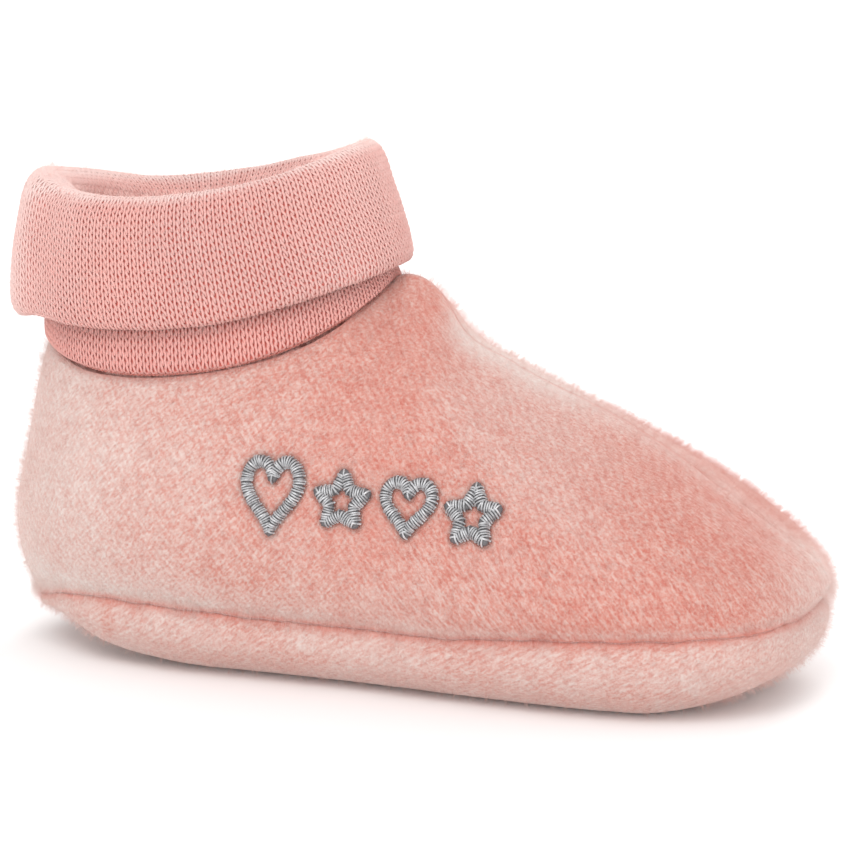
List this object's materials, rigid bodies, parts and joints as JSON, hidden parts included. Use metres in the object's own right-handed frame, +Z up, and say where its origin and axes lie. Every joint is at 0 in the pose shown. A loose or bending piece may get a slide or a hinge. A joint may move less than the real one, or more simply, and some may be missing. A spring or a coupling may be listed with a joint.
{
  "type": "infant bootie",
  "caption": "Soft infant bootie: velour upper on a padded sole, knitted ankle tube whose turned-down cuff unrolls upward, small stitched motifs on the outer side.",
  "frame": {"origin": "centre of the bounding box in plan, on the floor under the sole", "axes": "+X from heel to toe, +Z up, the embroidered outer side faces -Y"},
  "size_m": [0.1094, 0.0518, 0.0676],
  "materials": {
    "velour": "soft short-pile velour",
    "sole_velour": "soft short-pile velour, paler",
    "lining": "matte jersey",
    "foam": "matte wadding",
    "rib_knit": "matte fine rib knit",
    "sewing_thread": "matte thread",
    "stabiliser": "matte non-woven",
    "embroidery_thread": "satin grey thread"
  },
  "bodies": {
    "bootie": {"upper_outer_panel": "velour", "upper_inner_panel": "velour", "upper_lining_outer": "lining", "upper_lining_inner": "lining", "sole_velour_cover": "sole_velour", "sole_padding": "foam", "insole_lining": "lining", "cuff_neck": "rib_knit", "neck_seam_thread": "sewing_thread", "instep_seam_thread": "sewing_thread", "heel_seam_thread": "sewing_thread", "sole_seam_thread": "sewing_thread", "embroidery_backing": "stabiliser", "embroidered_heart_large": "embroidery_thread", "embroidered_star_rear": "embroidery_thread", "embroidered_heart_small": "embroidery_thread", "embroidered_star_front": "embroidery_thread"},
    "cuff": {"cuff_turndown": "rib_knit"}
  },
  "joints": [
    {"name": "cuff_unroll", "type": "slide", "parent": "bootie", "child": "cuff", "axis": [-0.1045, 0, 0.9945], "range_m": [0, 0.008]}
  ]
}
